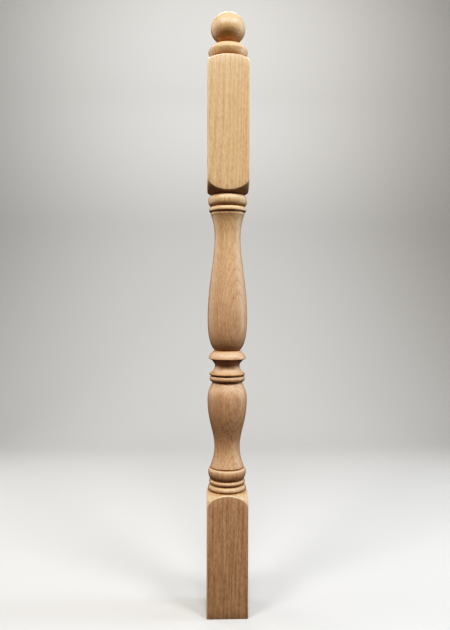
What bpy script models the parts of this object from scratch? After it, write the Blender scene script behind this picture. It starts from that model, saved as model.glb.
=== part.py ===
# A turned newel post for a stair or porch railing: one length of square timber,
# left square where rails and floor are fixed and turned round between them.
# Sizes are in metres. The foot stands at height zero and the axis is +Z.

import math

import bmesh
import bpy

# Square stock
POST_SIDE = 0.075
ARRIS = 0.0008

# Base block, square from the foot up to its turned shoulder
# A cut is how far the turning goes in below the face of the square.
BASE_BLOCK_HEIGHT = 0.2270
BASE_SHOULDER_FALL = 0.0210
BASE_SHOULDER_SWELL = 0.0032
BASE_SHOULDER_CUT = 0.0055

# Three rings above the base block
# A quirk is the cut of the narrow groove over a ring.
FOOT_ROLL_HEIGHT = 0.0107
FOOT_ROLL_CUT = 0.0023
FOOT_ROLL_QUIRK = 0.0080
FOOT_RING_HEIGHT = 0.0095
FOOT_RING_CUT = 0.0040
FOOT_RING_QUIRK = 0.0080
FOOT_BEAD_HEIGHT = 0.0206
FOOT_BEAD_CUT = 0.0026
FOOT_BEAD_QUIRK = 0.0068

# Lower vase: a flare into the neck, a long taper out to the belly, a round shoulder
# An ease is the share of a stretch's own height over which the curve leaves or
# reaches its end; a lean is how far it sets off sideways there, outwards positive.
LOWER_FLARE_HEIGHT = 0.0382
LOWER_FLARE_LEAN = -0.0018
LOWER_FLARE_FOOT_EASE = 0.23
LOWER_FLARE_NECK_EASE = 0.47
LOWER_NECK_CUT = 0.0141
LOWER_TAPER_HEIGHT = 0.0874
LOWER_TAPER_NECK_EASE = 0.33
LOWER_TAPER_BELLY_EASE = 0.47
LOWER_BELLY_CUT = 0.0011
LOWER_SHOULDER_HEIGHT = 0.0336
LOWER_SHOULDER_BELLY_EASE = 0.52
LOWER_SHOULDER_TOP_EASE = 0.38
LOWER_SHOULDER_LEAN = 0.0058
LOWER_SHOULDER_QUIRK = 0.0105

# Waist between the vases: a thin ring, a lip, a hollow and a collar
WAIST_RING_HEIGHT = 0.0117
WAIST_RING_CUT = 0.0049
WAIST_RING_QUIRK = 0.0098
LIP_HEIGHT = 0.0040
LIP_CUT = 0.0044
LIP_LEAN = 0.0050
LIP_EASE = 0.50
HOLLOW_HEIGHT = 0.0146
HOLLOW_CUT = 0.0147
HOLLOW_LEAN = -0.0080
HOLLOW_LIP_EASE = 0.28
HOLLOW_EASE = 0.44
HOLLOW_TOP_HEIGHT = 0.0094
HOLLOW_TOP_CUT = 0.0096
HOLLOW_TOP_LEAN = 0.0008
COLLAR_EDGE_HEIGHT = 0.0034
COLLAR_CUT = 0.0031
COLLAR_HEIGHT = 0.0152
COLLAR_EDGE_EASE = 0.42
COLLAR_TOP_EASE = 0.07
COLLAR_LEAN = 0.0040
COLLAR_TOP_CUT = 0.0150

# Upper vase: a quick rise to the belly, a long taper in to the neck, a flare
UPPER_RISE_HEIGHT = 0.0601
UPPER_RISE_LEAN = 0.0105
UPPER_RISE_FOOT_EASE = 0.11
UPPER_RISE_BELLY_EASE = 0.46
UPPER_BELLY_CUT = 0.0009
UPPER_TAPER_HEIGHT = 0.1459
UPPER_TAPER_BELLY_EASE = 0.39
UPPER_TAPER_NECK_EASE = 0.25
UPPER_NECK_CUT = 0.0138
UPPER_FLARE_HEIGHT = 0.0430
UPPER_FLARE_NECK_EASE = 0.42
UPPER_FLARE_TOP_EASE = 0.19
UPPER_FLARE_LEAN = 0.0039
UPPER_FLARE_CUT = 0.0065
UPPER_EDGE_HEIGHT = 0.0041
UPPER_EDGE_CUT = 0.0066

# Thin ring and bead under the top block
NECK_RING_HEIGHT = 0.0102
NECK_RING_CUT = 0.0035
NECK_RING_QUIRK = 0.0088
NECK_BEAD_HEIGHT = 0.0216
NECK_BEAD_CUT = 0.0017
NECK_BEAD_QUIRK = 0.0100

# Top block, square between two turned shoulders
TOP_BLOCK_HEIGHT = 0.2454
TOP_UNDER_RISE = 0.0253
TOP_UNDER_SWELL = 0.0050
TOP_SHOULDER_FALL = 0.0135
TOP_SHOULDER_SWELL = 0.0024
TOP_SHOULDER_CUT = 0.0090

# Cap: a bead, a short hollow neck and a ball that is flatter below its middle
CAP_UNDER_HEIGHT = 0.0135
CAP_UNDER_LEAN = 0.0040
CAP_UNDER_EASE = 0.30
CAP_CUT = 0.0015
CAP_OVER_HEIGHT = 0.0100
CAP_OVER_EASE = 0.22
CAP_OVER_LEAN = 0.0025
CAP_OVER_CUT = 0.0109
BALL_NECK_HEIGHT = 0.0072
BALL_NECK_CUT = 0.0240
BALL_NECK_LEAN = -0.0090
BALL_NECK_EASE = 0.80
BALL_CUT = 0.0059
BALL_UNDER = 0.0265
BALL_CROWN = 0.0297

# Waste that the cutter and the saw take away round the finished post
WASTE = 0.006

# Fineness of the facets
TURNING_FACETS = 36
SHOULDER_FACETS = 6
RING_FACETS = 5
BEAD_FACETS = 7
SWEEP_FACETS = 7
SMALL_FACETS = 4
BALL_FACETS = 12
ARRIS_FACETS = 2

# Look of the bare timber
WOOD_COLOUR = (0.56, 0.36, 0.19, 1.0)
WOOD_ROUGHNESS = 0.55
SHARP_ANGLE = math.radians(32.0)

FACE_REACH = POST_SIDE / 2.0
CORNER_REACH = FACE_REACH * math.sqrt(2.0)


def arc(start, end, swell, facets):
    """Points of a round arc after start, bulging outwards by swell at its middle."""
    across = end[0] - start[0]
    up = end[1] - start[1]
    chord = math.hypot(across, up)
    half_turn = 2.0 * math.atan2(2.0 * swell, chord)
    radius = chord / (2.0 * math.sin(half_turn))
    along = (across / chord, up / chord)
    outward = (along[1], -along[0])
    points = []
    for step in range(1, facets + 1):
        turn = half_turn * (2.0 * step / facets - 1.0)
        forward = chord / 2.0 + radius * math.sin(turn)
        sideways = radius * (math.cos(turn) - math.cos(half_turn))
        points.append(
            (
                start[0] + along[0] * forward + outward[0] * sideways,
                start[1] + along[1] * forward + outward[1] * sideways,
            )
        )
    return points


def ring(start, height, cut, quirk, facets):
    """Points of a half-round ring standing on start, with a groove above it."""
    top_radius = FACE_REACH - quirk
    proud = FACE_REACH - cut - (start[0] + top_radius) / 2.0
    points = []
    for step in range(1, facets + 1):
        turn = math.pi * step / facets
        climbed = (1.0 - math.cos(turn)) / 2.0
        base = start[0] + (top_radius - start[0]) * climbed
        points.append((base + proud * math.sin(turn), start[1] + height * climbed))
    return points


def sweep(start, height, cut, start_bend, end_bend, facets):
    """Points of a fair curve up to a new cut. Each bend is a lean and an ease."""
    end = (FACE_REACH - cut, start[1] + height)
    leave = (start[0] + start_bend[0], start[1] + start_bend[1] * height)
    reach = (end[0] + end_bend[0], end[1] - end_bend[1] * height)
    points = []
    for step in range(1, facets + 1):
        share = step / facets
        rest = 1.0 - share
        weights = (rest**3, 3.0 * rest**2 * share, 3.0 * rest * share**2, share**3)
        corners = (start, leave, reach, end)
        radius = sum(weight * corner[0] for weight, corner in zip(weights, corners))
        level = sum(weight * corner[1] for weight, corner in zip(weights, corners))
        points.append((radius, level))
    return points


def base_outline():
    """The base block and its shoulder, from under the foot to the first groove."""
    corner = (CORNER_REACH, BASE_BLOCK_HEIGHT - BASE_SHOULDER_FALL)
    groove = (FACE_REACH - BASE_SHOULDER_CUT, BASE_BLOCK_HEIGHT)
    points = [
        (0.0, -WASTE),
        (CORNER_REACH + WASTE, -WASTE),
        (CORNER_REACH + WASTE, corner[1] - WASTE),
        corner,
    ]
    points += arc(corner, groove, BASE_SHOULDER_SWELL, SHOULDER_FACETS)
    return points


def add_foot_rings(points):
    points += ring(
        points[-1], FOOT_ROLL_HEIGHT, FOOT_ROLL_CUT, FOOT_ROLL_QUIRK, RING_FACETS
    )
    points += ring(
        points[-1], FOOT_RING_HEIGHT, FOOT_RING_CUT, FOOT_RING_QUIRK, RING_FACETS
    )
    points += ring(
        points[-1], FOOT_BEAD_HEIGHT, FOOT_BEAD_CUT, FOOT_BEAD_QUIRK, BEAD_FACETS
    )


def add_lower_vase(points):
    points += sweep(
        points[-1],
        LOWER_FLARE_HEIGHT,
        LOWER_NECK_CUT,
        (LOWER_FLARE_LEAN, LOWER_FLARE_FOOT_EASE),
        (0.0, LOWER_FLARE_NECK_EASE),
        SWEEP_FACETS,
    )
    points += sweep(
        points[-1],
        LOWER_TAPER_HEIGHT,
        LOWER_BELLY_CUT,
        (0.0, LOWER_TAPER_NECK_EASE),
        (0.0, LOWER_TAPER_BELLY_EASE),
        SWEEP_FACETS,
    )
    points += sweep(
        points[-1],
        LOWER_SHOULDER_HEIGHT,
        LOWER_SHOULDER_QUIRK,
        (0.0, LOWER_SHOULDER_BELLY_EASE),
        (LOWER_SHOULDER_LEAN, LOWER_SHOULDER_TOP_EASE),
        SWEEP_FACETS,
    )


def add_waist(points):
    points += ring(
        points[-1], WAIST_RING_HEIGHT, WAIST_RING_CUT, WAIST_RING_QUIRK, RING_FACETS
    )
    points += sweep(
        points[-1],
        LIP_HEIGHT,
        LIP_CUT,
        (LIP_LEAN, 0.0),
        (0.0, LIP_EASE),
        SMALL_FACETS,
    )
    points += sweep(
        points[-1],
        HOLLOW_HEIGHT,
        HOLLOW_CUT,
        (HOLLOW_LEAN, HOLLOW_LIP_EASE),
        (0.0, HOLLOW_EASE),
        RING_FACETS,
    )
    points += sweep(
        points[-1],
        HOLLOW_TOP_HEIGHT,
        HOLLOW_TOP_CUT,
        (0.0, HOLLOW_EASE),
        (-HOLLOW_TOP_LEAN, HOLLOW_LIP_EASE),
        SMALL_FACETS,
    )
    points.append((FACE_REACH - COLLAR_CUT, points[-1][1] + COLLAR_EDGE_HEIGHT))
    points += sweep(
        points[-1],
        COLLAR_HEIGHT,
        COLLAR_TOP_CUT,
        (0.0, COLLAR_EDGE_EASE),
        (COLLAR_LEAN, COLLAR_TOP_EASE),
        RING_FACETS,
    )


def add_upper_vase(points):
    points += sweep(
        points[-1],
        UPPER_RISE_HEIGHT,
        UPPER_BELLY_CUT,
        (UPPER_RISE_LEAN, UPPER_RISE_FOOT_EASE),
        (0.0, UPPER_RISE_BELLY_EASE),
        SWEEP_FACETS,
    )
    points += sweep(
        points[-1],
        UPPER_TAPER_HEIGHT,
        UPPER_NECK_CUT,
        (0.0, UPPER_TAPER_BELLY_EASE),
        (0.0, UPPER_TAPER_NECK_EASE),
        SWEEP_FACETS,
    )
    points += sweep(
        points[-1],
        UPPER_FLARE_HEIGHT,
        UPPER_FLARE_CUT,
        (0.0, UPPER_FLARE_NECK_EASE),
        (-UPPER_FLARE_LEAN, UPPER_FLARE_TOP_EASE),
        SWEEP_FACETS,
    )
    points.append((FACE_REACH - UPPER_EDGE_CUT, points[-1][1] + UPPER_EDGE_HEIGHT))


def add_top_block(points):
    """The ring and bead below the top block, then the block and its two shoulders."""
    points += ring(
        points[-1], NECK_RING_HEIGHT, NECK_RING_CUT, NECK_RING_QUIRK, RING_FACETS
    )
    points += ring(
        points[-1], NECK_BEAD_HEIGHT, NECK_BEAD_CUT, NECK_BEAD_QUIRK, BEAD_FACETS
    )
    bottom = points[-1][1]
    top = bottom + TOP_BLOCK_HEIGHT
    low_corner = (CORNER_REACH, bottom + TOP_UNDER_RISE)
    high_corner = (CORNER_REACH, top - TOP_SHOULDER_FALL)
    points += arc(points[-1], low_corner, TOP_UNDER_SWELL, SHOULDER_FACETS)
    points.append((CORNER_REACH + WASTE, low_corner[1] + WASTE))
    points.append((CORNER_REACH + WASTE, high_corner[1] - WASTE))
    points.append(high_corner)
    groove = (FACE_REACH - TOP_SHOULDER_CUT, top)
    points += arc(high_corner, groove, TOP_SHOULDER_SWELL, SHOULDER_FACETS)


def add_cap(points):
    points += sweep(
        points[-1],
        CAP_UNDER_HEIGHT,
        CAP_CUT,
        (CAP_UNDER_LEAN, 0.0),
        (0.0, CAP_UNDER_EASE),
        SMALL_FACETS,
    )
    points += sweep(
        points[-1],
        CAP_OVER_HEIGHT,
        CAP_OVER_CUT,
        (0.0, CAP_OVER_EASE),
        (CAP_OVER_LEAN, 0.0),
        SMALL_FACETS,
    )
    points += sweep(
        points[-1],
        BALL_NECK_HEIGHT,
        BALL_NECK_CUT,
        (BALL_NECK_LEAN, 0.0),
        (0.0, BALL_NECK_EASE),
        SMALL_FACETS,
    )


def add_ball(points):
    """The ball, from where it meets its neck up to the pole."""
    radius = FACE_REACH - BALL_CUT
    seat = math.acos(points[-1][0] / radius)
    centre = points[-1][1] + BALL_UNDER * math.sin(seat)
    for step in range(1, BALL_FACETS + 1):
        turn = (seat + math.pi / 2.0) * step / BALL_FACETS - seat
        half_height = BALL_CROWN if turn > 0.0 else BALL_UNDER
        points.append((radius * math.cos(turn), centre + half_height * math.sin(turn)))
    points[-1] = (0.0, points[-1][1])


def turned_outline():
    """Half the outline as (radius, height) pairs, from the foot to the ball's pole."""
    points = base_outline()
    add_foot_rings(points)
    add_lower_vase(points)
    add_waist(points)
    add_upper_vase(points)
    add_top_block(points)
    add_cap(points)
    add_ball(points)
    return points


def object_from(shape, name):
    mesh = bpy.data.meshes.new(name)
    shape.to_mesh(mesh)
    shape.free()
    made = bpy.data.objects.new(name, mesh)
    bpy.context.scene.collection.objects.link(made)
    return made


def make_turning(outline):
    """The outline spun round the axis, left wider than the square at the blocks."""
    shape = bmesh.new()
    corners = [shape.verts.new((radius, 0.0, level)) for radius, level in outline]
    edges = [shape.edges.new(pair) for pair in zip(corners, corners[1:])]
    bmesh.ops.spin(
        shape,
        geom=corners + edges,
        cent=(0.0, 0.0, 0.0),
        axis=(0.0, 0.0, 1.0),
        angle=math.tau,
        steps=TURNING_FACETS,
        use_merge=True,
    )
    bmesh.ops.remove_doubles(shape, verts=shape.verts, dist=1e-6)
    bmesh.ops.recalc_face_normals(shape, faces=shape.faces)
    turning = object_from(shape, "turned_outline")
    turning.data.shade_smooth()
    turning.data.set_sharp_from_angle(angle=SHARP_ANGLE)
    turning.hide_render = True
    turning.display_type = "WIRE"
    return turning


def make_stock(top):
    """The square timber with eased arrises, a little longer than the post."""
    length = top + WASTE
    shape = bmesh.new()
    bmesh.ops.create_cube(shape, size=1.0)
    bmesh.ops.scale(shape, vec=(POST_SIDE, POST_SIDE, length), verts=shape.verts)
    bmesh.ops.translate(shape, vec=(0.0, 0.0, length / 2.0), verts=shape.verts)
    bmesh.ops.bevel(
        shape,
        geom=shape.edges[:],
        offset=ARRIS,
        offset_type="OFFSET",
        segments=ARRIS_FACETS,
        profile=0.5,
        affect="EDGES",
    )
    return object_from(shape, "railing_post")


def make_wood():
    wood = bpy.data.materials.new("bare_hardwood")
    wood.use_nodes = True
    shader = wood.node_tree.nodes["Principled BSDF"]
    shader.inputs["Base Color"].default_value = WOOD_COLOUR
    shader.inputs["Roughness"].default_value = WOOD_ROUGHNESS
    shader.inputs["Metallic"].default_value = 0.0
    wood.diffuse_color = WOOD_COLOUR
    return wood


for old in list(bpy.data.objects):
    bpy.data.objects.remove(old, do_unlink=True)

outline = turned_outline()
turning = make_turning(outline)
post = make_stock(outline[-1][1])
wood = make_wood()
for piece in (turning, post):
    piece.data.materials.append(wood)

# Only what lies inside both the square timber and the turned outline is left.
shaping = post.modifiers.new("turning", "BOOLEAN")
shaping.operation = "INTERSECT"
shaping.solver = "EXACT"
shaping.object = turning
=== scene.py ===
# %% [markdown]
# A turned newel post
# The real object is one length of bare hardwood, 75 mm square and 1.1 m tall.
# A joiner leaves it square at the head and the foot, where rails and floor are
# fixed, and turns it round in a lathe between them, with a ball on top.
# This lesson rebuilds it in Blender. The plain solid of the post is loaded first:
# it says how big everything is, and the fine model that we make must fit it.

# %% Load the plain solid
import math

import bpy
import numpy as np
from mathutils import Euler, Matrix, Vector


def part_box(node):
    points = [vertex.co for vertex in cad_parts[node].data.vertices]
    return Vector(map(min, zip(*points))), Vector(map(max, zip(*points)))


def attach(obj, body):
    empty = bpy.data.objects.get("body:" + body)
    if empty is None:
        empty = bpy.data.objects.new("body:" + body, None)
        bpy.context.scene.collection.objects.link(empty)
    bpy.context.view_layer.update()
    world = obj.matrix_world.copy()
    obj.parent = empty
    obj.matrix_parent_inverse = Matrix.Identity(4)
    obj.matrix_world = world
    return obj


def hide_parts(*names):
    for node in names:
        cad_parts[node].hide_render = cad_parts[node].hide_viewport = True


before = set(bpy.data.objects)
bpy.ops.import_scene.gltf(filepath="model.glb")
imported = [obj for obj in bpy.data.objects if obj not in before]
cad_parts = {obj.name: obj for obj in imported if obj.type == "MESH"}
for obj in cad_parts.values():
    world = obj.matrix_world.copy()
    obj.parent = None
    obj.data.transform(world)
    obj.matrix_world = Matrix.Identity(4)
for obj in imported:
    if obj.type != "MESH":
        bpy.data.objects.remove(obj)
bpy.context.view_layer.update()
solid_low, solid_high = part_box("railing_post")
print("plain solid from", [round(v, 4) for v in solid_low], "to", [round(v, 4) for v in solid_high])

# %% [markdown]
# The camera
# A tall thin object is photographed upright, from about half its height, so that
# we look up at the ball and down at the foot. That is why the rings near the top
# curve one way and those near the foot the other. A longer lens from further off
# would flatten those curves, so distance and lens are set together. The camera
# also stands two degrees to one side, nods a little and leans a little, as a
# hand-held one does: a matrix puts the three turns together in a fixed order.

# %% Camera
CAMERA_DISTANCE = 1.102
CAMERA_HEIGHT = 0.581
CAMERA_ASIDE = -0.0044
CAMERA_PITCH = math.radians(1.60)
CAMERA_ROLL = math.radians(0.14)
SEEN_FROM = math.radians(2.0)
LENS_MM = 34.09
SENSOR_MM = 36.0
NEAREST_SEEN = 0.01
LEVEL = math.pi / 2.0

eye = bpy.data.cameras.new("eye")
eye.lens = LENS_MM
eye.sensor_width = SENSOR_MM
eye.clip_start = NEAREST_SEEN
camera = bpy.data.objects.new("camera", eye)
bpy.context.scene.collection.objects.link(camera)
walk_round = Matrix.Rotation(-SEEN_FROM, 3, "Z")
stand = walk_round @ Vector((CAMERA_ASIDE, -CAMERA_DISTANCE, CAMERA_HEIGHT))
aim = Euler((LEVEL - CAMERA_PITCH, 0.0, -SEEN_FROM)).to_matrix()
aim = aim @ Matrix.Rotation(CAMERA_ROLL, 3, "Z")
camera.matrix_world = Matrix.Translation(stand) @ aim.to_4x4()
bpy.context.scene.camera = camera
print("camera at", [round(v, 3) for v in stand])

# %% [markdown]
# The turner's rod
# A turner marks a thin board, the rod, with the height and the radius of every
# stretch of the post, and works from it. Ours is a table of the same kind.
# A "ring" swells to its radius and falls back to the groove above it. A "sweep" is
# a fair curve from the last radius to a new one: each bend says how far the curve
# sets off sideways, and over what share of its height it holds that direction.
# Sizes are in millimetres, as on a real rod, and the stretches stack up from the
# foot. Written this way, one changed number moves all that stands above it.
# The blocks have their own sizes: how far each arch drops from the groove to the
# corner, how much its curve swells, and how deep the groove is.

# %% Sizes of the two blocks
FACE = 37.5
BASE_HEIGHT = 227.0
BASE_DROP = 21.0
BASE_SWELL = 3.2
BASE_GROOVE = 32.0
HEAD_HEIGHT = 245.4
HEAD_UNDER_DROP = 25.3
HEAD_UNDER_SWELL = 5.0
HEAD_OVER_DROP = 13.5
HEAD_OVER_SWELL = 2.4
HEAD_GROOVE = 28.5
print(f"square timber {2.0 * FACE:.0f} mm wide")

# %% The rod from the foot block to the head block
BELOW_HEAD = (
    # stretch, kind, height, end radius, swell radius or (start bend, end bend), rows
    ("foot roll", "ring", 10.7, 28.3, 35.2, 16),
    ("foot ring", "ring", 9.5, 28.3, 33.5, 14),
    ("foot bead", "ring", 20.6, 30.7, 34.9, 22),
    ("quirk floor", "sweep", 0.3, 27.8, ((-1.5, 0.0), (0.0, 0.5)), 3),
    ("quirk lip", "sweep", 1.7, 30.7, ((0.0, 0.6), (-1.6, 0.0)), 5),
    ("lower flare", "sweep", 36.2, 23.4, ((-1.8, 0.23), (0.0, 0.47)), 24),
    ("lower taper", "sweep", 87.4, 36.4, ((0.0, 0.33), (0.0, 0.47)), 36),
    ("lower shoulder", "sweep", 33.6, 27.0, ((0.0, 0.52), (5.8, 0.38)), 24),
    ("waist ring", "ring", 11.7, 27.7, 32.6, 16),
    ("lip", "sweep", 4.0, 33.1, ((5.0, 0.0), (0.0, 0.5)), 8),
    ("hollow", "sweep", 14.6, 22.8, ((-8.0, 0.28), (0.0, 0.44)), 20),
    ("hollow top", "sweep", 9.4, 27.9, ((0.0, 0.44), (-0.8, 0.28)), 12),
    ("collar edge", "sweep", 3.4, 34.4, ((2.2, 0.33), (-2.2, 0.33)), 4),
    ("collar", "sweep", 15.2, 22.5, ((0.0, 0.42), (4.0, 0.07)), 20),
    ("upper rise", "sweep", 60.1, 36.6, ((10.5, 0.11), (0.0, 0.46)), 36),
    ("upper taper", "sweep", 145.9, 23.7, ((0.0, 0.39), (0.0, 0.25)), 52),
    ("upper flare", "sweep", 43.0, 31.0, ((0.0, 0.42), (-3.9, 0.19)), 26),
    ("upper edge", "sweep", 4.1, 30.9, ((0.0, 0.3), (0.0, 0.3)), 3),
    ("neck ring", "ring", 10.2, 28.7, 34.0, 16),
    ("neck bead", "ring", 21.6, 27.5, 35.8, 24),
)
print(len(BELOW_HEAD), "stretches between the blocks")

# %% The cap and the ball
CAP = (
    # stretch, kind, height, end radius, (start bend, end bend), rows
    ("cap under", "sweep", 13.5, 36.0, ((4.0, 0.0), (0.0, 0.3)), 14),
    ("cap over", "sweep", 10.0, 26.6, ((0.0, 0.22), (2.5, 0.0)), 14),
    ("ball neck", "sweep", 7.2, 13.5, ((-9.0, 0.0), (0.0, 0.8)), 12),
)
BALL_RADIUS = 31.6
BALL_UNDER = 26.5
BALL_CROWN = 29.7
BALL_ROWS = 44
print(f"ball {2.0 * BALL_RADIUS:.1f} mm wide, {BALL_UNDER + BALL_CROWN:.1f} mm high if whole")

# %% [markdown]
# Two curves for a whole post
# The rings could be half circles and the vases arcs, but a turner's tool leaves
# fuller and slacker curves than a compass. Half an ellipse serves for each ring,
# and a curve with a handle at either end for each sweep. Both are a few lines of
# arithmetic, so the rod's numbers go straight in. Rings get closer rows where
# they turn into the groove, because that is where a coarse curve would show.


# %% Rings and sweeps
def ring(start, height, end_radius, swell_radius, rows):
    share = np.arange(1, rows + 1) / rows * math.pi
    climbed = (1.0 - np.cos(share)) / 2.0
    base = start[0] + (end_radius - start[0]) * climbed
    proud = swell_radius - (start[0] + end_radius) / 2.0
    return np.column_stack((base + proud * np.sin(share), start[1] + height * climbed))


def sweep(start, height, end_radius, bends, rows):
    (lean_out, hold_out), (lean_in, hold_in) = bends
    end = np.array((end_radius, start[1] + height))
    leave = start + np.array((lean_out, hold_out * height))
    reach_end = end + np.array((lean_in, -hold_in * height))
    share = (np.arange(1, rows + 1) / rows)[:, None]
    rest = 1.0 - share
    return (
        rest**3 * start
        + 3.0 * rest**2 * share * leave
        + 3.0 * rest * share**2 * reach_end
        + share**3 * end
    )


def turned(start, stretches):
    """All the points of a run of stretches, as (radius, height) rows."""
    points = [np.array([start], float)]
    for _, kind, height, end_radius, form, rows in stretches:
        make = ring if kind == "ring" else sweep
        points.append(make(points[-1][-1], height, end_radius, form, rows))
    return np.vstack(points)


middle = turned((BASE_GROOVE, BASE_HEIGHT), BELOW_HEAD)
head_foot = middle[-1][1]
head_top = head_foot + HEAD_HEIGHT
cap = turned((HEAD_GROOVE, head_top), CAP)
print(f"turned from {BASE_HEIGHT:.1f} to {head_foot:.1f} mm, cap from {head_top:.1f} mm")

# %% Ball
seat = math.acos(cap[-1][0] / BALL_RADIUS)
ball_centre = cap[-1][1] + BALL_UNDER * math.sin(seat)
swing = np.linspace(-seat, math.pi / 2.0, BALL_ROWS + 1)[1:-1]
half_height = np.where(swing > 0.0, BALL_CROWN, BALL_UNDER)
ball_radii = BALL_RADIUS * np.cos(swing)
ball = np.column_stack((ball_radii, ball_centre + half_height * np.sin(swing)))
post_height = ball_centre + BALL_CROWN
print(f"ball centre at {ball_centre:.1f} mm, post {post_height:.1f} mm tall")

# %% [markdown]
# One skin for square and round
# Blender could cut the square with a Boolean, as the plain solid was made. A
# Boolean on a fine mesh is slow and leaves long thin triangles on the flats, so
# here the skin is laid as a net of columns and rows instead. Every row
# goes once round the post. On the turned stretches a row is a circle. On a
# shoulder each column runs out from the groove to the edge of the square, and its
# height follows the turned curve, so that the arched edge comes by itself. On the
# flats the columns drop straight from one arched edge to the other.
# No planed corner is quite sharp: six extra columns fan round each corner, so
# that it can be eased by about a millimetre and catch a line of light.

# %% Columns round the post
COLUMNS = 144
CORNER_EASE = 0.9
CORNER_FAN = (-0.62, -0.45, -0.22, 0.22, 0.45, 0.62)


def square_reach(angle, ease):
    """Distance from the axis to the square's edge, with corners rounded by ease."""
    across = np.abs(np.cos(angle))
    along = np.abs(np.sin(angle))
    longer = np.maximum(across, along)
    shorter = np.minimum(across, along)
    flat = FACE / longer
    round_centre = FACE - ease
    middle_part = round_centre * (longer + shorter)
    inside = middle_part**2 - 2.0 * round_centre**2 + ease**2
    rounded = middle_part + np.sqrt(np.maximum(inside, 0.0))
    return np.where(flat * shorter > round_centre, rounded, flat)


even = np.arange(COLUMNS) * math.tau / COLUMNS
corners = math.pi / 4.0 + np.arange(4) * math.pi / 2.0
fans = corners[:, None] + np.radians(CORNER_FAN)
angles = np.sort(np.concatenate([even, fans.ravel()]))
reach = square_reach(angles, CORNER_EASE)
print(f"{len(angles)} columns, square reaches {reach.min():.2f} to {reach.max():.2f} mm")

# %% [markdown]
# Arched shoulders
# Where the lathe's tool first meets the square timber it cuts the corners only,
# and the edge between turned and flat runs up each face as an arch. In section
# the shoulder is one shallow arc from the corner of the square in to the groove,
# so the height at any radius is a point on a circle. The sharp arch is then eased
# with sandpaper: three rows follow a small curve from the flat on to the shoulder.

# %% Height on a shoulder
CORNER = FACE * math.sqrt(2.0)


def arc_height(radius, corner, groove, swell):
    """Height, at each radius, of the round arc from the corner in to the groove."""
    corner = np.array(corner)
    groove = np.array(groove)
    chord = np.linalg.norm(groove - corner)
    curve = chord * chord / (8.0 * swell) + swell / 2.0
    along = (groove - corner) / chord
    outward = np.array((along[1], -along[0])) * math.copysign(1.0, along[1])
    centre = (corner + groove) / 2.0 - outward * (curve - swell)
    up = math.copysign(1.0, outward[1])
    return centre[1] + up * np.sqrt(curve**2 - (radius - centre[0]) ** 2)


print(f"corner of the square {CORNER:.2f} mm from the axis")

# %% Shoulder rows
SHOULDER_ROWS = 16
ARCH_EASE = 1.6
EASE_SHARES = (0.0, 1.0 / 3.0, 2.0 / 3.0)
arches = []


def shoulder_rows(corner_height, groove, swell, flat_side):
    """Rows from the flat, round the eased arch, in to the groove."""
    corner = (CORNER, corner_height)
    edge = (reach, arc_height(reach, corner, groove, swell))
    arches.append(edge[1])
    flat = (reach, edge[1] + flat_side * ARCH_EASE)
    rows = []
    for share in np.linspace(0.0, 1.0, SHOULDER_ROWS + 1):
        radius = reach - ARCH_EASE + (groove[0] - reach + ARCH_EASE) * share
        rows.append((radius, arc_height(radius, corner, groove, swell)))
    eased = []
    for share in EASE_SHARES:
        weights = ((1.0 - share) ** 2, 2.0 * share * (1.0 - share), share**2)
        three = (flat, edge, rows[0])
        eased.append(tuple(sum(w * p[k] for w, p in zip(weights, three)) for k in (0, 1)))
    return eased + rows


base_groove = (BASE_GROOVE, BASE_HEIGHT)
under_groove = (middle[-1][0], head_foot)
over_groove = (HEAD_GROOVE, head_top)
base_shoulder = shoulder_rows(BASE_HEIGHT - BASE_DROP, base_groove, BASE_SWELL, -1.0)
under_shoulder = shoulder_rows(
    head_foot + HEAD_UNDER_DROP, under_groove, HEAD_UNDER_SWELL, 1.0
)[::-1]
over_shoulder = shoulder_rows(head_top - HEAD_OVER_DROP, over_groove, HEAD_OVER_SWELL, -1.0)
spans = [(round(float(arch.min()), 1), round(float(arch.max()), 1)) for arch in arches]
print("arches run between heights of", spans, "mm")

# %% Rows up the post
FLAT_ROWS = 14
FOOT_EASE = 0.9
UNDERFOOT = (0.35, 0.7, 1.0)
FOOT_TURNS = (math.pi / 6.0, math.pi / 3.0, math.pi / 2.0)


def level_row(radius, height):
    return (radius, np.full(len(angles), height))


def circle_rows(points):
    return [level_row(np.full(len(angles), radius), height) for radius, height in points]


def flat_rows(low, high):
    """Rows up the flats, strictly between two edges."""
    shares = np.linspace(0.0, 1.0, FLAT_ROWS + 1)[1:-1]
    return [(reach, low + (high - low) * share) for share in shares]


inset = reach - FOOT_EASE
foot_edge = [level_row(inset * share, 0.0) for share in UNDERFOOT]
for lean in FOOT_TURNS:
    rise = FOOT_EASE * (1.0 - math.cos(lean))
    foot_edge.append(level_row(inset + FOOT_EASE * math.sin(lean), rise))
post_rows = list(foot_edge)
post_rows += flat_rows(foot_edge[-1][1], base_shoulder[0][1])
post_rows += base_shoulder
post_rows += circle_rows(middle[1:-1])
post_rows += under_shoulder
post_rows += flat_rows(under_shoulder[-1][1], over_shoulder[0][1])
post_rows += over_shoulder
post_rows += circle_rows(cap[1:])
post_rows += circle_rows(ball)
print(f"{len(post_rows)} rows")

# %% [markdown]
# Skin, and a painted highlight on the arrises
# The net becomes a mesh: four-sided faces between the rows, and a fan of
# triangles to a point under the foot and at the crown of the ball. Smooth shading
# rounds the turned curves, and angles above a limit stay sharp, so that arches
# and grooves keep their line. The arrises get a painted highlight: a paler colour
# that stands in for the thin line of light along them. A texture could paint that,
# but the mesh already knows where its arrises are, so each point carries one
# number, its share of that painted highlight, for the material to read.

# %% Painted highlight on the arrises
CORNER_HIGHLIGHT = math.radians(0.9)
HIGHLIGHT_BAND = 1.2


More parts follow.
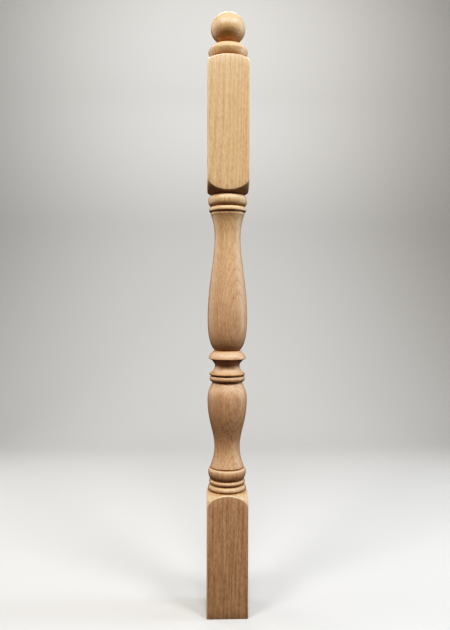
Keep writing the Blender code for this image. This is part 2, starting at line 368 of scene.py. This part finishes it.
def painted_rim_light(radius, height):
    """One on an arris of the square, easing to nought beside it: the share of painted highlight."""
    from_arch = np.min([np.abs(height - arch) for arch in arches], axis=0)
    on_arch = np.clip(1.0 - from_arch / ARCH_EASE, 0.0, 1.0)
    from_corner = np.min([np.abs(angles - corner) for corner in corners], axis=0)
    on_corner = np.clip(1.0 - from_corner / CORNER_HIGHLIGHT, 0.0, 1.0)
    on_square = radius > reach - HIGHLIGHT_BAND * ARCH_EASE
    return np.maximum(on_arch, on_corner) * on_square


radius = np.array([row[0] for row in post_rows])
height = np.array([row[1] for row in post_rows])
post_rim_light = painted_rim_light(radius, height).ravel()
print(f"{np.count_nonzero(post_rim_light)} of {post_rim_light.size} points are worn")


# %% Faces of the net
def bands(rows):
    """Faces between each row and the next, then the two fans to the poles."""
    across = len(angles)
    here = np.arange(across)
    beside = (here + 1) % across
    faces = []
    for row in range(rows - 1):
        first = row * across
        second = first + across
        corners_of_faces = (first + here, first + beside, second + beside, second + here)
        faces += np.column_stack(corners_of_faces).tolist()
    last = (rows - 1) * across
    low_pole = np.full(across, rows * across)
    faces += np.column_stack((beside, here, low_pole)).tolist()
    faces += np.column_stack((last + here, last + beside, low_pole + 1)).tolist()
    return faces


post_faces = bands(len(post_rows))
print(f"{len(post_faces)} faces")

# %% Skin
MM = 0.001
SHARP_EDGE = math.radians(42.0)

rounds = (radius * np.cos(angles), radius * np.sin(angles), height)
points = np.stack(rounds, axis=-1).reshape(-1, 3)
points = np.vstack((points, (0.0, 0.0, 0.0), (0.0, 0.0, post_height))) * MM
post_mesh = bpy.data.meshes.new("turned_post")
post_mesh.from_pydata(points.tolist(), [], post_faces)
post_mesh.update()
# Each point's share of the painted highlight on the arrises goes to the material.
rim_light_points = post_mesh.attributes.new("painted_rim_light", "FLOAT", "POINT")
rim_light_points.data.foreach_set("value", np.append(post_rim_light, (0.0, 0.0)))
post_mesh.shade_smooth()
post_mesh.set_sharp_from_angle(angle=SHARP_EDGE)
post = bpy.data.objects.new("turned_post", post_mesh)
bpy.context.scene.collection.objects.link(post)
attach(post, "root")
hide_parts("railing_post")
print(f"post skin has {sum(len(p.vertices) - 2 for p in post_mesh.polygons)} triangles")

# %% [markdown]
# Bare wood
# The timber is a pale, close-grained hardwood, sanded but not varnished. Its grain
# is not paint on the surface: a trunk is a stack of rings round a pith, and the
# post is a straight piece sawn out of it. So the colour is worked out in the solid,
# from the distance to a pith that lies behind the post on the left. Where the lathe
# cuts across the rings, they open into long loops on the bellies by themselves.
#
# Each node answers one question about a point of the wood, as a number: how far
# through its ring is it, is it in a fibre, a pore or a streak? The answers are
# added up as darkness, and one mix turns darkness into colour. A few short
# helpers come first, because a material of many nodes is easier to read as sums.

# %% Helpers for the wood
wood = bpy.data.materials.new("bare_turned_hardwood")
wood.use_nodes = True
post_mesh.materials.append(wood)
tree = wood.node_tree
shader = tree.nodes["Principled BSDF"]


def add(kind, sockets, **settings):
    """A new node. Each socket takes a number, a colour or another node's output."""
    made = tree.nodes.new(kind)
    for name, value in settings.items():
        setattr(made, name, value)
    for key, value in sockets.items():
        if isinstance(value, bpy.types.NodeSocket):
            tree.links.new(value, made.inputs[key])
        else:
            made.inputs[key].default_value = value
    return made


def combine(first, second, operation="ADD"):
    return add("ShaderNodeMath", {0: first, 1: second}, operation=operation).outputs[0]


def times(first, second):
    return combine(first, second, "MULTIPLY")


def vector(first, second, operation):
    made = add("ShaderNodeVectorMath", {0: first, 1: second}, operation=operation)
    return made.outputs["Vector"]


def length(value):
    made = add("ShaderNodeVectorMath", {0: value}, operation="LENGTH")
    return made.outputs["Value"]


def upward(value):
    return add("ShaderNodeSeparateXYZ", {0: value}).outputs["Z"]


print("wood starts with", len(tree.nodes), "nodes")


# %% Ramps, mixes and noise along the grain
def ramped(value, low, high, out_low=0.0, out_high=1.0):
    """The range low to high of the value, eased into out_low to out_high."""
    sockets = {"Value": value, "From Min": low, "From Max": high}
    sockets.update({"To Min": out_low, "To Max": out_high})
    made = add("ShaderNodeMapRange", sockets, interpolation_type="SMOOTHSTEP")
    return made.outputs["Result"]


def mixed(factor, first, second):
    """A colour mix. Its colours are the seventh and eighth sockets of the node."""
    made = add("ShaderNodeMix", {0: factor, 6: first, 7: second}, data_type="RGBA")
    return made.outputs[2]


coordinates = add("ShaderNodeTexCoord", {})
inside_wood = coordinates.outputs["Object"]


def along_grain(across, along, offset, detail):
    """Noise whose blots are this many metres across and along the grain."""
    scale = (1.0 / across, 1.0 / across, 1.0 / along)
    sockets = {"Vector": inside_wood, "Scale": scale, "Location": (offset,) * 3}
    place = add("ShaderNodeMapping", sockets).outputs[0]
    sockets = {"Vector": place, "Scale": 1.0, "Detail": detail, "Roughness": 0.5}
    return add("ShaderNodeTexNoise", sockets).outputs["Fac"]


def spot(place, half_sizes):
    """One at the middle of this ellipsoid, easing to nought at its skin."""
    shares = vector(vector(inside_wood, place, "SUBTRACT"), half_sizes, "DIVIDE")
    return ramped(length(shares), 0.0, 1.0, 1.0, 0.0)


print("wood has", len(tree.nodes), "nodes before its grain")

# %% Growth rings
PITH = (-0.090, 0.160, 0.0)
PITH_LEAN = (math.radians(0.8), math.radians(0.5), 0.0)
RING_WIDTH = 0.0034
WANDER = 0.012
LEVEL_ONLY = (1.0, 1.0, 0.0)
SUMMER_START = 0.35
SUMMER_END = 0.90

sockets = {"Vector": inside_wood, "Location": PITH, "Rotation": PITH_LEAN}
leaning = add("ShaderNodeMapping", sockets, vector_type="TEXTURE").outputs[0]
from_pith = length(vector(leaning, LEVEL_ONLY, "MULTIPLY"))
wander = times(along_grain(across=0.060, along=0.450, offset=3.1, detail=2.0), WANDER)
ring_count = combine(combine(from_pith, wander), RING_WIDTH, "DIVIDE")
through_ring = combine(ring_count, 0.0, "FRACT")
late_wood = ramped(through_ring, SUMMER_START, SUMMER_END)
next_spring = ramped(through_ring, SUMMER_END, 1.0)
ring_line = combine(late_wood, next_spring, "SUBTRACT")
print(f"growth rings {RING_WIDTH / MM:.1f} mm wide round a pith at {PITH[:2]} m")

# %% Fibres, pores and streaks
COARSE_BELOW = 0.20
FINE_ABOVE = 0.50
PORES_AT_FOOT = 0.05
PORE_START = 0.68
PORE_FULL = 0.76

upright = upward(inside_wood)
towards_foot = ramped(upright, COARSE_BELOW, FINE_ABOVE, 1.0, 0.0)
broad = along_grain(across=0.030, along=0.600, offset=11.0, detail=2.0)
streak = along_grain(across=0.0045, along=0.120, offset=5.0, detail=3.0)
fine_line = along_grain(across=0.0011, along=0.120, offset=7.0, detail=1.0)
fibre = along_grain(across=0.0010, along=0.0065, offset=29.0, detail=1.0)
figure = along_grain(across=0.020, along=0.012, offset=23.0, detail=2.0)
pore_noise = along_grain(across=0.0012, along=0.0110, offset=17.0, detail=1.0)
pore_noise = combine(pore_noise, times(towards_foot, PORES_AT_FOOT))
pore = ramped(pore_noise, PORE_START, PORE_FULL)
print("grain is coarser below", COARSE_BELOW, "m and fine above", FINE_ABOVE, "m")

# %% [markdown]
# Marks and colour
# Every board has a few marks of its own. Here a dark streak and a dash lie on the
# foot block, and small flecks on the upper vase. Each is a soft ellipsoid in the
# wood, deep enough to reach the surface wherever it is cut.
#
# The colour runs between two tones: yellower at the head, a little redder and
# darker at the foot, partly the wood's own tone and partly painted shade for the
# dimmer light at the foot. Darkness then pulls it towards brown. Wood cut across
# its fibres drinks in light, so the steep tops and undersides are darker. Near the
# foot they keep the yellower tone of the head, painted light for how the light
# falls on them there. The arrises are palest of all: a painted highlight.

# %% Marks in this piece of timber
MARKS = (
    # middle, half sizes, depth
    ((0.0150, -0.0375, 0.090), (0.0022, 0.020, 0.060), 0.35),
    ((-0.0240, -0.0375, 0.075), (0.0018, 0.020, 0.011), 0.35),
    ((0.0096, -0.0340, 0.582), (0.0016, 0.006, 0.0036), 0.70),
    ((-0.0330, -0.0120, 0.580), (0.0016, 0.006, 0.0030), 0.50),
    ((0.0260, -0.0250, 0.604), (0.0016, 0.006, 0.0026), 0.40),
    # The last two have a negative depth and lighten the wood into two small pale spots.
    ((-0.0153, -0.0310, 0.5475), (0.0026, 0.006, 0.0036), -0.40),
    ((-0.0167, -0.0310, 0.5333), (0.0026, 0.006, 0.0036), -0.30),
)
marks = 0.0
for place, half_sizes, depth in MARKS:
    marks = combine(times(spot(place, half_sizes), depth), marks)
print(len(MARKS), "marks placed in the wood")

# %% Darkness
PLAIN_DARKNESS = 0.25
RING_DEPTH = 0.13
FINE_GRAIN = (
    # answer, depth, how much deeper at the foot
    (streak, 0.23, 2.6),
    (fine_line, 0.47, 0.5),
    (fibre, 0.70, 0.3),
)
PORE_DEPTH = 0.14
FIGURE_DEPTH = 0.08
END_GRAIN_DEPTH = 0.22
END_GRAIN_FROM = 0.72
END_GRAIN_FULL = 0.95

fine = 0.0
for answer, depth, deeper in FINE_GRAIN:
    off_middle = times(combine(answer, 0.5, "SUBTRACT"), depth)
    at_foot = combine(times(towards_foot, deeper), 1.0)
    fine = combine(times(off_middle, at_foot), fine)
fine = combine(fine, times(pore, PORE_DEPTH))
figured = times(combine(figure, 0.5, "SUBTRACT"), FIGURE_DEPTH)
steepness = combine(upward(coordinates.outputs["Normal"]), 0.0, "ABSOLUTE")
end_grain = times(ramped(steepness, END_GRAIN_FROM, END_GRAIN_FULL), END_GRAIN_DEPTH)
darkness = combine(times(ring_line, RING_DEPTH), PLAIN_DARKNESS)
for part in (fine, figured, marks, end_grain):
    darkness = combine(darkness, part)
print("wood counts as end grain from a steepness of", END_GRAIN_FROM)

# %% Colour
HEAD_WOOD = (0.636, 0.459, 0.281, 1.0)
# Redder and darker at the foot: partly the wood's own tone, partly painted shade.
FOOT_WOOD_AND_SHADE = (0.597, 0.408, 0.267, 1.0)
BROWN = (0.271, 0.119, 0.049, 1.0)
# A pale colour painted on the arrises as a highlight, for the line of light they catch.
RIM_HIGHLIGHT = (0.738, 0.599, 0.426, 1.0)
RIM_HIGHLIGHT_SHARE = 0.7
RED_BELOW = 0.58
YELLOW_ABOVE = 0.78
STEEP_TONE_FROM = 0.35
STEEP_TONE_FULL = 0.80

redness = ramped(upright, RED_BELOW, YELLOW_ABOVE, 1.0, 0.0)
redness = combine(redness, combine(broad, 0.5, "SUBTRACT"))
# Steep faces near the foot keep the head's yellower tone: painted light for how the light falls on
# them there.
painted_steep_tone = times(ramped(steepness, STEEP_TONE_FROM, STEEP_TONE_FULL), towards_foot)
redness = times(redness, combine(1.0, painted_steep_tone, "SUBTRACT"))
grained = mixed(darkness, mixed(redness, HEAD_WOOD, FOOT_WOOD_AND_SHADE), BROWN)
# The arrises are mixed towards the pale colour: a painted highlight.
highlighted = add("ShaderNodeAttribute", {}, attribute_name="painted_rim_light").outputs["Fac"]
wood_colour = mixed(times(highlighted, RIM_HIGHLIGHT_SHARE), grained, RIM_HIGHLIGHT)
tree.links.new(wood_colour, shader.inputs["Base Color"])
print("wood runs from", FOOT_WOOD_AND_SHADE[:3], "at the foot to", HEAD_WOOD[:3], "at the head")

# %% [markdown]
# Gloss and touch
# Sanded wood has a dull sheen, broken up by its fibres. One even roughness would
# look like plastic, so the fibres make it rougher and smoother by turns, and they
# and the pores also stand up and sink by a tenth of a millimetre. On the turned
# stretches the tool leaves faint rings. The planed blocks reach further from the
# axis than any turned belly does, so that distance tells the two apart.

# %% Gloss and bumps
ROUGHNESS = 0.40
FIBRE_ROUGHNESS = 0.18
GLOSS = 0.41
BUMP_DEPTH = 0.00010
PORE_PIT = 1.5
TOOL_RINGS = 0.5
TURNED_WITHIN = 0.0368
PLANED_BEYOND = 0.0372

shader.inputs["Specular IOR Level"].default_value = GLOSS
roughness = combine(times(fibre, FIBRE_ROUGHNESS), ROUGHNESS - FIBRE_ROUGHNESS / 2.0)
tree.links.new(roughness, shader.inputs["Roughness"])
from_axis = length(vector(inside_wood, LEVEL_ONLY, "MULTIPLY"))
is_turned = ramped(from_axis, TURNED_WITHIN, PLANED_BEYOND, 1.0, 0.0)
tool_marks = along_grain(across=0.200, along=0.0016, offset=41.0, detail=1.0)
relief = combine(fibre, times(pore, PORE_PIT), "SUBTRACT")
relief = combine(relief, times(times(tool_marks, is_turned), TOOL_RINGS))
bump = add("ShaderNodeBump", {"Height": relief, "Strength": 1.0, "Distance": BUMP_DEPTH})
tree.links.new(bump.outputs["Normal"], shader.inputs["Normal"])
print(f"wood made of {len(tree.nodes)} nodes")

# %% [markdown]
# The studio
# The floor is a pale paper sweep: flat under the post, then curving up behind it
# with no corner, so that no line crosses the picture. A floor and a wall would be
# simpler, but they would meet in a line. The paper is matt, and a shade of grey,
# so that the pale wood stands out from it.

# %% Floor sweep
FLOOR_HALF_WIDTH = 4.0
FLOOR_FRONT = -3.0
BEND_START = 1.2
BEND_RADIUS = 1.0
SWEEP_TOP = 4.0
BEND_STEPS = 24

profile = [(FLOOR_FRONT, 0.0), (BEND_START, 0.0)]
for step in range(1, BEND_STEPS + 1):
    bend = math.pi / 2.0 * step / BEND_STEPS
    back = BEND_START + BEND_RADIUS * math.sin(bend)
    profile.append((back, BEND_RADIUS * (1.0 - math.cos(bend))))
profile.append((BEND_START + BEND_RADIUS, SWEEP_TOP))
sides = (-FLOOR_HALF_WIDTH, FLOOR_HALF_WIDTH)
sweep_points = [(x, y, z) for y, z in profile for x in sides]
sweep_faces = [(2 * k, 2 * k + 1, 2 * k + 3, 2 * k + 2) for k in range(len(profile) - 1)]
paper_mesh = bpy.data.meshes.new("paper_sweep")
paper_mesh.from_pydata(sweep_points, [], sweep_faces)
paper_mesh.shade_smooth()
paper = bpy.data.objects.new("paper_sweep", paper_mesh)
bpy.context.scene.collection.objects.link(paper)
print(f"paper sweep of {len(sweep_faces)} strips")

# %% Paper
PAPER_GREY = (0.541, 0.525, 0.500, 1.0)
PAPER_ROUGHNESS = 0.9

pale_paper = bpy.data.materials.new("pale_paper")
pale_paper.use_nodes = True
paper_shader = pale_paper.node_tree.nodes["Principled BSDF"]
paper_shader.inputs["Base Color"].default_value = PAPER_GREY
paper_shader.inputs["Roughness"].default_value = PAPER_ROUGHNESS
paper_mesh.materials.append(pale_paper)
print("paper is", PAPER_GREY[:3])

# %% [markdown]
# Soft lamps
# Flat light would hide the turning. Three lamps above and in front light every top
# edge, and two tall strips on each side draw the long soft highlights down the
# vases. The right-hand strip is bluish, like daylight from a window. Little light
# comes from below, so the undersides and grooves stay deep: for that the paper is
# kept from throwing light back up, as black cloth does in a studio. Two weak lamps
# with a grid, which narrows their beam, lift the foot block and the underside of
# the head block. One lamp stands behind the post and one lights the paper alone.
#
# Beyond the paper there is pale air that the camera sees but that lights nothing,
# so that a view from the side or the back isn't black.

# %% Lamps
SOFT_WHITE = (1.0, 1.0, 1.0)
DAYLIGHT = (0.72, 0.84, 1.0)
LAMPS = (
    # name, place, aims at, width and height, watts, colour
    ("left_lamp", (-1.0, -1.0, 2.3), (0.0, 0.0, 0.7), (0.6, 0.6), 30.0, SOFT_WHITE),
    ("right_lamp", (1.0, -1.0, 2.3), (0.0, 0.0, 0.7), (0.6, 0.6), 29.4, SOFT_WHITE),
    ("front_lamp", (0.0, -1.5, 2.4), (0.0, 0.0, 0.7), (0.8, 0.8), 28.7, SOFT_WHITE),
    ("low_lamp", (0.0, -1.7, 0.8), (0.0, 0.0, 0.12), (0.6, 0.4), 0.51, SOFT_WHITE),
    ("under_lamp", (0.0, -1.2, 0.10), (0.0, 0.0, 0.84), (0.2, 0.15), 0.016, SOFT_WHITE),
    ("left_strip", (-1.2, 0.0, 1.0), (0.0, 0.0, 0.6), (0.4, 1.6), 4.4, SOFT_WHITE),
    ("right_strip", (1.2, 0.0, 1.0), (0.0, 0.0, 0.6), (0.3, 1.6), 12.4, DAYLIGHT),
    ("left_back", (-1.0, 0.6, 1.0), (0.0, 0.0, 0.6), (0.4, 1.6), 6.5, SOFT_WHITE),
    ("right_back", (1.0, 0.6, 1.0), (0.0, 0.0, 0.6), (0.4, 1.6), 3.05, SOFT_WHITE),
    ("back_lamp", (0.0, 1.5, 2.3), (0.0, 0.0, 0.6), (0.8, 0.5), 14.6, SOFT_WHITE),
    ("paper_lamp", (0.0, 0.9, 2.2), (0.0, 2.2, 1.7), (1.6, 0.4), 18.3, SOFT_WHITE),
)
BEAMS = {"low_lamp": math.radians(50.0), "under_lamp": math.radians(14.0)}

for name, place, target, size, watts, colour in LAMPS:
    lamp = bpy.data.lights.new(name, "AREA")
    lamp.shape = "RECTANGLE"
    lamp.size, lamp.size_y = size
    lamp.energy = watts
    lamp.color = colour
    if name in BEAMS:
        lamp.spread = BEAMS[name]
    holder = bpy.data.objects.new(name, lamp)
    bpy.context.scene.collection.objects.link(holder)
    holder.location = place
    direction = Vector(target) - Vector(place)
    holder.rotation_euler = direction.to_track_quat("-Z", "Y").to_euler()
print(f"{len(LAMPS)} lamps, {sum(lamp[4] for lamp in LAMPS):.1f} watts in all")

# %% Paper and air that light nothing
AIR_COLOUR = (1.0, 0.99, 0.97, 1.0)
PALE_AIR = 0.6

paper.visible_diffuse = False
paper.visible_glossy = False
air = bpy.data.worlds.new("studio_air")
air.use_nodes = True
background = air.node_tree.nodes["Background"]
background.inputs["Color"].default_value = AIR_COLOUR
background.inputs["Strength"].default_value = PALE_AIR
bpy.context.scene.world = air
air.cycles_visibility.diffuse = False
air.cycles_visibility.glossy = False
print("air strength", PALE_AIR, "for the camera alone")

# %% [markdown]
# The camera's response
# A camera doesn't answer to light in a straight line: it deepens the shade and
# rolls off gently before white. Blender can bend its picture with one curve, which
# acts on red, green and blue alike, so shaded wood also turns a warmer brown.
# The curve belongs to the view, and the wood's own colour stays what it is.

# %% Response curve
STEEPNESS = 1.8
ROLL_OFF = 1.6
MID_TONE = 0.5
ALL_COLOURS = 3
CURVE_LIGHTS = (0.05, 0.1, 0.2, 0.3, 0.4, 0.5, 0.65, 0.8)

balance = MID_TONE**STEEPNESS * (ROLL_OFF - MID_TONE) / MID_TONE
view = bpy.context.scene.view_settings
view.view_transform = "Standard"
view.use_curve_mapping = True
response = view.curve_mapping.curves[ALL_COLOURS]
for light in CURVE_LIGHTS:
    answer = ROLL_OFF * light**STEEPNESS / (light**STEEPNESS + balance)
    response.points.new(light, answer)
view.curve_mapping.update()
print("response", [(round(p.location[0], 2), round(p.location[1], 3)) for p in response.points])
